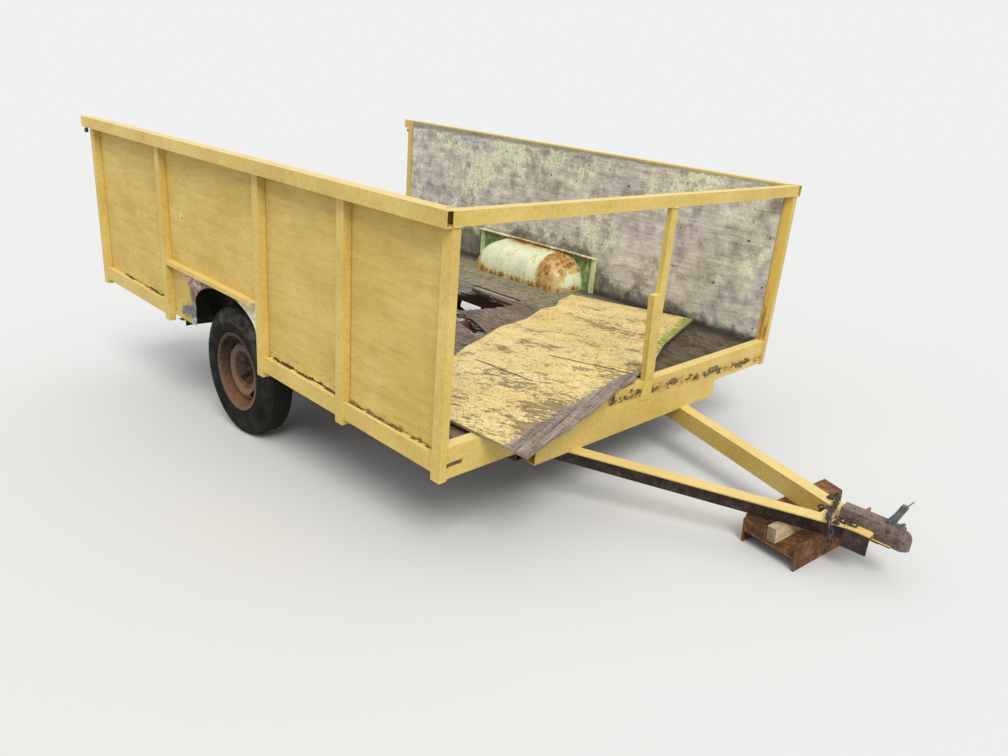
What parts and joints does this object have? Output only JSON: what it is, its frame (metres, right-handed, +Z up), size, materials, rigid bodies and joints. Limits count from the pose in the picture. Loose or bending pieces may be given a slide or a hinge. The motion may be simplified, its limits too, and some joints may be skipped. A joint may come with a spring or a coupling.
{
  "type": "utility trailer",
  "caption": "Weathered single-axle utility trailer: tall plywood sides in a steel frame, open front and tail, A-frame tongue parked low on a steel stand.",
  "frame": {"origin": "on the floor under the middle of the bounding box, stand and tongue included", "axes": "+X forward to the coupler, +Y to the left side, +Z up; the bed is parked 4.65 degrees nose-down"},
  "size_m": [4.4746, 2.444, 1.6269],
  "materials": {
    "frame_paint": "chalky yellow paint over rust",
    "sheet_paint": "peeling yellow paint on plywood",
    "grey_boards": "weathered grey boards, partly rotten",
    "old_pressing": "old cream and green paint with rust",
    "rusty_steel": "brown rust",
    "wheel_rust": "red-brown rust",
    "tyre": "dusty worn rubber",
    "coupler_steel": "dull brown rust",
    "latch_steel": "worn grey-blue",
    "chain_steel": "dark rust",
    "stand_rust": "orange-brown rust",
    "stand_timber": "pale timber"
  },
  "bodies": {
    "trailer": {"front_sill": "frame_paint", "rear_sill": "frame_paint", "side_sill_left": "frame_paint", "side_sill_right": "frame_paint", "cross_members": "rusty_steel", "main_rail_left": "rusty_steel", "main_rail_right": "rusty_steel", "front_beam": "frame_paint", "tongue_rear_beam": "rusty_steel", "posts_left": "frame_paint", "posts_right": "frame_paint", "front_rail": "frame_paint", "side_rail_left": "frame_paint", "side_rail_right": "frame_paint", "corner_packers": "frame_paint", "front_post": "frame_paint", "front_post_splice": "frame_paint", "fore_sheet_left": "sheet_paint", "fore_sheet_right": "sheet_paint", "aft_sheet_left": "sheet_paint", "aft_sheet_right": "sheet_paint", "rear_hooks": "rusty_steel", "bay_ledges": "frame_paint", "arch_skirt_left": "frame_paint", "arch_skirt_right": "frame_paint", "wheelhouse_left": "old_pressing", "wheelhouse_right": "old_pressing", "bay_frame_left": "old_pressing", "bay_frame_right": "old_pressing", "floor_boards": "grey_boards", "loose_panel": "sheet_paint", "axle": "rusty_steel", "leaf_spring_left": "rusty_steel", "leaf_spring_right": "rusty_steel", "spring_hangers": "rusty_steel", "axle_clamps": "rusty_steel", "tongue_member_left": "frame_paint", "tongue_member_right": "frame_paint", "nose_plate": "frame_paint", "coupler": "coupler_steel", "coupler_latch": "latch_steel", "safety_chain": "chain_steel", "stand_beam": "stand_rust", "stand_plate": "stand_rust", "stand_wedge": "stand_timber"},
    "wheel_left": {"wheel_left": "wheel_rust", "tyre_left": "tyre", "hub_left": "wheel_rust", "lug_nuts_left": "wheel_rust"},
    "wheel_right": {"wheel_right": "wheel_rust", "tyre_right": "tyre", "hub_right": "wheel_rust", "lug_nuts_right": "wheel_rust"}
  },
  "joints": [
    {"name": "wheel_left_spin", "type": "hinge", "parent": "trailer", "child": "wheel_left", "pos_m": [-0.75896, 1.0175, 0.343], "axis": [0, 1, 0], "continuous": true},
    {"name": "wheel_right_spin", "type": "hinge", "parent": "trailer", "child": "wheel_right", "pos_m": [-0.75896, -1.0175, 0.343], "axis": [0, 1, 0], "continuous": true}
  ]
}
